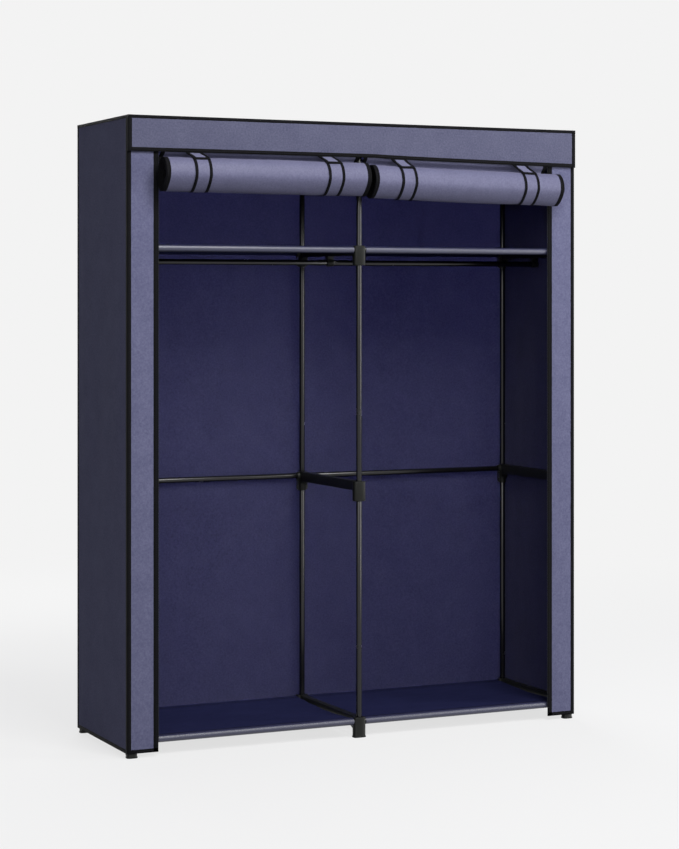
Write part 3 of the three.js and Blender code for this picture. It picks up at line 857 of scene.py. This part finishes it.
def cover_lid():
    inset = TAPE + CLOTH / 2
    skin = TAPE / 2
    x = -(HALF_WIDTH - TAPE)
    corners = [
        Vector((x, VALANCE_FACE + inset, VALANCE_FOOT + TAPE)),
        Vector((x, VALANCE_FACE + inset, LID_TOP - inset)),
        Vector((x, BACK_FACE - TAPE, LID_TOP - inset)),
    ]
    line = subdivided(corners, 11 * MM)
    piece = swept_piece(
        "cover_lid", line, Vector((-2 * x, 0, 0)), 110, [lid_cloth, inside_shade_cloth], CLOTH,
        centre=Vector((0, BACK_FACE, 0)), move=lambda place: place + lid_sag(place), **SHADED_INSIDE,
    )
    settle(piece, 50)
    place_on(piece, ROOT, "navy_cover_cloth", "cover_top")
    line_length(line)
    bands = []
    wide = Vector((2 * HALF_WIDTH, 0, 0))
    deep = Vector((0, BACK_FACE - VALANCE_FACE, 0))
    tall = Vector((0, 0, LID_TOP - VALANCE_FOOT))
    top = LID_TOP - skin
    for row, face, back in (("front", VALANCE_FACE, 1), ("back", BACK_FACE, -1)):
        corner = Vector((-HALF_WIDTH, face + back * skin, top))
        first = Vector((-HALF_WIDTH, corner.y, LID_TOP - LID_TAPE))
        last = Vector((-HALF_WIDTH, face + back * LID_TAPE, top))
        bands.append(tape_band(f"lid_{row}_edge_binding", folded_over(first, corner, last), wide, 96,
                               TAPE))
    for sign, side in ((-1, "left"), (1, "right")):
        x = sign * (HALF_WIDTH - skin)
        corner = Vector((x, VALANCE_FACE, top))
        first = Vector((x, VALANCE_FACE, LID_TOP - LID_TAPE))
        last = Vector((sign * (HALF_WIDTH - LID_TAPE), VALANCE_FACE, top))
        bands.append(tape_band(f"lid_{side}_edge_binding", folded_over(first, corner, last), deep, 30,
                               TAPE))
        corner = Vector((x, VALANCE_FACE + skin, VALANCE_FOOT))
        first = Vector((sign * (HALF_WIDTH - TAPE_WIDTH), corner.y, VALANCE_FOOT))
        last = Vector((x, STRIP_FACE - CLEARANCE, VALANCE_FOOT))
        bands.append(tape_band(f"valance_{side}_corner_binding", folded_over(first, corner, last),
                               tall, 8, TAPE, move=lambda place: place + droop(place.x, place.z)))
    hem = [
        Vector((sign * (HALF_WIDTH - HEM / 2), y, VALANCE_FOOT))
        for sign, y in (
            (-1, STRIP_FACE - CLEARANCE),
            (-1, VALANCE_FACE + HEM / 2),
            (1, VALANCE_FACE + HEM / 2),
            (1, STRIP_FACE - CLEARANCE),
        )
    ]
    bands.append(tape_band("valance_foot_hem", subdivided(hem, 14 * MM),
                           Vector((0, 0, HEM_HEIGHT)), 2, HEM, measure_up=True,
                           move=lambda place: place + lid_sag(place)))
    for band in bands:
        place_on(band, ROOT, "navy_cover_cloth")


cover_lid()


# Doors: each roll is one spiral of cloth with bound ends, hanging from its flat stretch


def spiral_radius(turns):
    return ROLL_OUTER - (ROLL_OUTER - ROLL_CORE) * turns / ROLL_TURNS


def roll_axis(bay):
    low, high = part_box(f"door_roll_{bay}")
    joint = next(j for j in frame["joints"] if j["name"] == f"door_{bay}_unroll")
    return Vector(((low.x + high.x) / 2, joint["pos_m"][1], joint["pos_m"][2]))


def roll_shape(bay, seed):
    """Moves a point of the straight round roll: pressed flatter by its straps, drawn in under them,
    fuller between them, softly uneven, and with its inner turns pushed along. What lies on the
    cloth keeps its distance from it."""
    axis = roll_axis(bay)
    low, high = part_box(f"door_roll_{bay}")
    straps = [middle_of(f"strap_{bay}_{end}").x for end in ENDS]

    def move(place):
        y, z = place.y - axis.y, place.z - axis.z
        radius = math.hypot(y, z)
        turns = (ROLL_OUTER - radius) / (ROLL_OUTER - ROLL_CORE)
        pinch = sum(math.exp(-(((place.x - strap) / PINCH_REACH) ** 2)) for strap in straps)
        share = (place.x - low.x) / (high.x - low.x)
        turn = math.atan2(z, y)
        lumps = Vector((math.cos(turn) + seed, math.sin(turn), place.x / 0.11))
        dimples = Vector((math.cos(turn) * 2, math.sin(turn) * 2, place.x / 0.03 + seed))
        swell = ROLL_LUMPS * noise.noise(lumps) + ROLL_DIMPLES * noise.noise(dimples)
        swell += ROLL_SWELL * math.sin(math.pi * share) - STRAP_PINCH * pinch
        scale = 1 + swell / ROLL_OUTER
        slip = TELESCOPE * max(turns, 0.0) ** 1.3
        on_cloth = min(radius, ROLL_OUTER) / radius
        bent_y, bent_z = y * on_cloth * scale, z * on_cloth * scale
        if bent_y < ROLL_OUTER:
            inwards = (ROLL_OUTER - bent_y) * ROLL_DEPTH
            if bent_z < 0:
                below = bent_z**2 / (UNDERCUT_START - bent_z)
                inwards -= UNDERCUT * below * inwards / (2 * ROLL_OUTER)
            bent_y = ROLL_OUTER - inwards
        proud = Vector((0, y, z)) * (1 - on_cloth)
        flat = axis * Vector((0, 1, 1)) + Vector((place.x + slip, bent_y, bent_z)) + proud
        return flat + door_hang(place.x, flat.z)

    return move


def spiral_line(axis, x):
    """The rolled cloth's line, in from its outer end."""
    steps = 44 * ROLL_TURNS
    turns = [ROLL_TURNS * i / steps for i in range(steps + 1)]
    return [polar(axis.y, axis.z, spiral_radius(turn), -360 * turn, x) for turn in turns]


def panel_line(axis, x, stand=0.0):
    """The flat cloth's line, as a smooth curve from under the top through its bends to the roll's
    back."""
    bends = [(0, WALL_TOP), *PANEL_BENDS, (axis.y + ROLL_OUTER - PANEL_Y, axis.z)]
    points = [Vector((x, PANEL_Y + behind + stand, z)) for behind, z in bends]
    line = []
    for i, (a, b) in enumerate(zip(points, points[1:])):
        before = points[max(i - 1, 0)]
        after = points[min(i + 2, len(points) - 1)]
        count = max(2, round((b - a).length / (4 * MM)))
        for step in range(count):
            t = step / count
            curve = 2 * a + (b - before) * t + (2 * before - 5 * a + 4 * b - after) * t**2
            line.append((curve + (3 * a - before - 3 * b + after) * t**3) / 2)
    return [*line, points[-1]]


def across_panel(piece, bay, axis, *nodes):
    """Hides the given parts and bakes the piece's place into its mesh."""
    if nodes:
        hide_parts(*nodes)
    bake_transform(piece)


def bound_ends(low, high):
    """Where the bindings of a door's two ends start, a little past its cloth."""
    return ("left", low.x - BINDING_LAP), ("right", high.x - ROLL_BINDING + BINDING_LAP)


def door_binding(name, line, steps, move):
    return tape_band(name, line, Vector((ROLL_BINDING, 0, 0)), steps, CLOTH + BINDING_OVER,
                     measure_up=True, tape=narrow_tape, move=move)


def rolled_door(bay, seed):
    """The rolled cloth and its bindings."""
    low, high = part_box(f"door_roll_{bay}")
    axis, move = roll_axis(bay), roll_shape(bay, seed)
    width = high.x - low.x
    line = spiral_line(axis, low.x)
    roll = swept_piece(f"door_{bay}_rolled_cloth", line, Vector((width, 0, 0)), 60, [door_cloth],
                       CLOTH, move=move)
    settle(roll, 60)
    place_on(roll, f"door_roll_{bay}", "navy_door_cloth", f"door_roll_{bay}")
    line_length(line)
    pieces = [roll]
    for end, x in bound_ends(low, high):
        ring = door_binding(f"door_{bay}_roll_{end}_binding", spiral_line(axis, x), 3, move)
        pieces.append(place_on(ring, f"door_roll_{bay}", "navy_door_cloth"))
    for piece in pieces:
        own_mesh(piece)


def flat_door(bay):
    """The door's cloth above its roll, with its bindings."""
    low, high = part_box(f"door_panel_{bay}")
    axis = roll_axis(bay)
    width = high.x - low.x
    line = panel_line(axis, low.x)

    def hang(place):
        return place + door_hang(place.x, place.z)

    panel = swept_piece(f"door_{bay}_flat_cloth", line, Vector((width, 0, 0)), 40, [door_cloth],
                        CLOTH, move=hang)
    settle(panel, 60)
    across_panel(panel, bay, axis, f"door_panel_{bay}")
    line_length(line)
    for end, x in bound_ends(low, high):
        tape = door_binding(f"door_{bay}_panel_{end}_binding", panel_line(axis, x), 2, hang)
        across_panel(tape, bay, axis)


def strap_line(axis, x, apart):
    """Down behind the flat cloth, under the roll and up its front to the top. Over its first
    degrees the strap also passes the flat cloth, where that joins the roll."""
    line = [place for place in panel_line(axis, x, apart) if STRAP_TOP_Z >= place.z > axis.z + 4 * MM]
    for degrees in (270 * i / 40 for i in range(1, 41)):
        passing = (CLOTH + CLEARANCE) * (1 - min(degrees / 25, 1))
        radius = spiral_radius(degrees / 360) + apart + passing
        line.append(polar(axis.y, axis.z, radius, -degrees, x))
    return line


def roll_strap(bay, end, seed):
    """A strap with its bound edges."""
    node = f"strap_{bay}_{end}"
    low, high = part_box(node)
    width = high.x - low.x
    axis, bend = roll_axis(bay), roll_shape(bay, seed)
    apart = CLOTH / 2 + CLEARANCE + STRAP_CLOTH / 2

    def move(place):
        behind_panel = place.z > axis.z and place.y > axis.y + 30 * MM
        if behind_panel:
            return place + door_hang(place.x, place.z)
        bent = bend(place)
        return Vector((place.x, bent.y, bent.z))

    line = strap_line(axis, low.x, apart)
    band = swept_piece(f"{node}_band", line, Vector((width, 0, 0)), 10, [strap_cloth], STRAP_MIDDLE,
                       move=move)
    settle(band, 60)
    place_on(band, ROOT, "navy_strap_webbing", node)
    line_length(line)
    pieces = [band]
    for edge, x in (("left", low.x), ("right", high.x - STRAP_EDGE)):
        tape = tape_band(f"{node}_{edge}_edge", strap_line(axis, x, apart),
                         Vector((STRAP_EDGE, 0, 0)), 2, STRAP_CLOTH + 0.2 * MM, measure_up=True,
                         move=move, tape=narrow_tape)
        pieces.append(place_on(tape, ROOT, "navy_strap_webbing"))
    for piece in pieces:
        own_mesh(piece)


def hook_tab(bay, end, seed):
    """A stiff tab of hook-and-loop tape, bound all round, from under the valance over the strap."""
    node = f"tab_{bay}_{end}"
    low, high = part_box(node)
    width = high.x - low.x
    axis, bend = roll_axis(bay), roll_shape(bay, seed)
    turns = (360 - TAB_TIP_ANGLE) / 360
    radius = spiral_radius(turns) + CLOTH / 2 + CLEARANCE + 1.5 * STRAP_CLOTH + CLEARANCE
    pin = Vector((low.x, VALANCE_FACE - TAB_PIN_STANDOFF, VALANCE_FOOT - TAB_PIN_DROP))
    reach = math.hypot(pin.y - axis.y, pin.z - axis.z)
    touch = math.degrees(math.atan2(pin.z - axis.z, pin.y - axis.y) + math.acos(radius / reach))
    last = max(TAB_TIP_ANGLE, touch + 3)
    ground = polar(axis.y, axis.z, radius, touch, low.x)
    line = [pin.lerp(ground, i / 12) for i in range(12)]
    line += [polar(axis.y, axis.z, radius, touch + (last - touch) * i / 6, low.x) for i in range(7)]

    def bound(centre):
        near_side = min(centre.x - low.x, high.x - centre.x) < TAB_RIM
        near_tip = (centre - line[-1]).yz.length < 1.3 * TAB_RIM
        near_root = (centre - pin).yz.length < 3 * MM
        return near_side or near_tip or near_root

    def move(place):
        """From its sewn edge, which hangs with the valance, onto the roll."""
        bent = bend(place)
        grip = ease((pin.y - place.y) / (25 * MM))
        onto_roll = Vector((0, bent.y - place.y, bent.z - place.z)) * grip
        return place + onto_roll + droop(place.x, pin.z) * (1 - grip)

    piece = swept_piece(f"{node}_flap", line, Vector((width, 0, 0)), 14, [tab_felt, narrow_tape],
                        STRAP_CLOTH, mark=bound, move=move)
    round_edges(piece, 0.4 * MM)
    settle(piece, 50)
    place_on(piece, node, "hook_and_loop_tab", node)
    line_length(line)


for seed, bay in ((0.0, "left"), (3.7, "right")):
    rolled_door(bay, seed)
    flat_door(bay)
    for end in ENDS:
        roll_strap(bay, end, seed)
        hook_tab(bay, end, seed)


# Camera, lamps and the pale studio


BACKGROUND = "#f3f3f3"
LIT_FLOOR = 1.0
PLAIN_FLOOR = 4.5


def photograph_camera():
    data = bpy.data.cameras.new("camera")
    data.sensor_width = SENSOR
    data.lens = SENSOR * FOCAL_PIXELS / PICTURE_HEIGHT
    data.shift_y = -(PICTURE_HEIGHT / 2 - HORIZON_PIXEL) / PICTURE_HEIGHT
    data.clip_end = 60
    camera = bpy.data.objects.new("camera", data)
    camera.location = CAMERA_PLACE
    camera.rotation_euler = (math.radians(90), 0, -CAMERA_YAW)
    bpy.context.scene.collection.objects.link(camera)
    bpy.context.scene.camera = camera


def lamp(name, place, aim, width, height, power):
    data = bpy.data.lights.new(name, "AREA")
    data.shape = "RECTANGLE"
    data.size, data.size_y = width, height
    data.energy = power
    light = bpy.data.objects.new(name, data)
    light.location = place
    light.rotation_euler = (Vector(aim) - Vector(place)).to_track_quat("-Z", "Y").to_euler()
    bpy.context.scene.collection.objects.link(light)


def seen_directly(tree):
    """1 for rays from the camera and for those that a mirror or glass sends on, else 0."""
    path = add_node(tree, "ShaderNodeLightPath")
    clear = add_node(
        tree,
        "ShaderNodeMath",
        {"operation": "MAXIMUM"},
        {0: path.outputs["Is Glossy Ray"], 1: path.outputs["Is Transmission Ray"]},
    )
    seen = add_node(
        tree,
        "ShaderNodeMath",
        {"operation": "MAXIMUM"},
        {0: path.outputs["Is Camera Ray"], 1: clear.outputs[0]},
    )
    return seen.outputs[0]


def studio():
    world = bpy.data.worlds.new("studio")
    world.use_nodes = True
    tree = world.node_tree
    tree.nodes.clear()
    seen = seen_directly(tree)
    fill = add_node(tree, "ShaderNodeBackground", {"Color": linear("#eaecff"), "Strength": 0.185})
    plain = add_node(tree, "ShaderNodeBackground", {"Color": linear(BACKGROUND), "Strength": 1.0})
    shown = add_node(
        tree,
        "ShaderNodeMixShader",
        None,
        {0: seen, 1: fill.outputs[0], 2: plain.outputs[0]},
    )
    add_node(tree, "ShaderNodeOutputWorld", None, {"Surface": shown.outputs[0]})
    bpy.context.scene.world = world

    # The floor turns into the plain background between two distances from the wardrobe, in metres
    bm = bmesh.new()
    bmesh.ops.create_grid(bm, x_segments=1, y_segments=1, size=30.0)
    material, tree = new_material("pale_studio_floor")
    place = add_node(tree, "ShaderNodeTexCoord").outputs["Object"]
    reach = add_node(tree, "ShaderNodeVectorMath", {"operation": "LENGTH"}, {0: place})
    far = add_node(
        tree,
        "ShaderNodeMapRange",
        {"interpolation_type": "SMOOTHSTEP", "From Min": LIT_FLOOR, "From Max": PLAIN_FLOOR},
        {"Value": reach.outputs["Value"]},
    )
    paper = add_node(tree, "ShaderNodeBsdfDiffuse", {"Color": linear("#6a6a6a")})
    glow = add_node(tree, "ShaderNodeEmission", {"Color": linear(BACKGROUND), "Strength": 0.8})
    lit = add_node(tree, "ShaderNodeAddShader", None, {0: paper.outputs[0], 1: glow.outputs[0]})
    plain = add_node(tree, "ShaderNodeEmission", {"Color": linear(BACKGROUND), "Strength": 1.0})
    shown = add_node(
        tree,
        "ShaderNodeMixShader",
        None,
        {0: far.outputs["Result"], 1: lit.outputs[0], 2: plain.outputs[0]},
    )
    mixed = add_node(
        tree,
        "ShaderNodeMixShader",
        None,
        {0: seen_directly(tree), 1: paper.outputs[0], 2: shown.outputs[0]},
    )
    add_node(tree, "ShaderNodeOutputMaterial", None, {"Surface": mixed.outputs[0]})
    floor = make_object("studio_floor", bm, [material])


photograph_camera()
studio()
# Each lamp's place, what it is aimed at, its width and height in metres and its power in watts
lamp("key", (0.1, -3.2, 4.0), (0, 0, 1.0), 2.0, 1.8, 200)
lamp("right_strip", (3.4, -2.2, 1.35), (0.2, 0, 1.0), 0.9, 2.6, 110)
lamp("left_fill", (-2.9, -4.7, 2.3), (0, 0, 0.9), 2.2, 2.2, 66)
lamp("back", (0.6, 4.6, 2.6), (0, 0, 0.9), 3.0, 2.5, 190)
bpy.context.scene.view_settings.view_transform = "Standard"
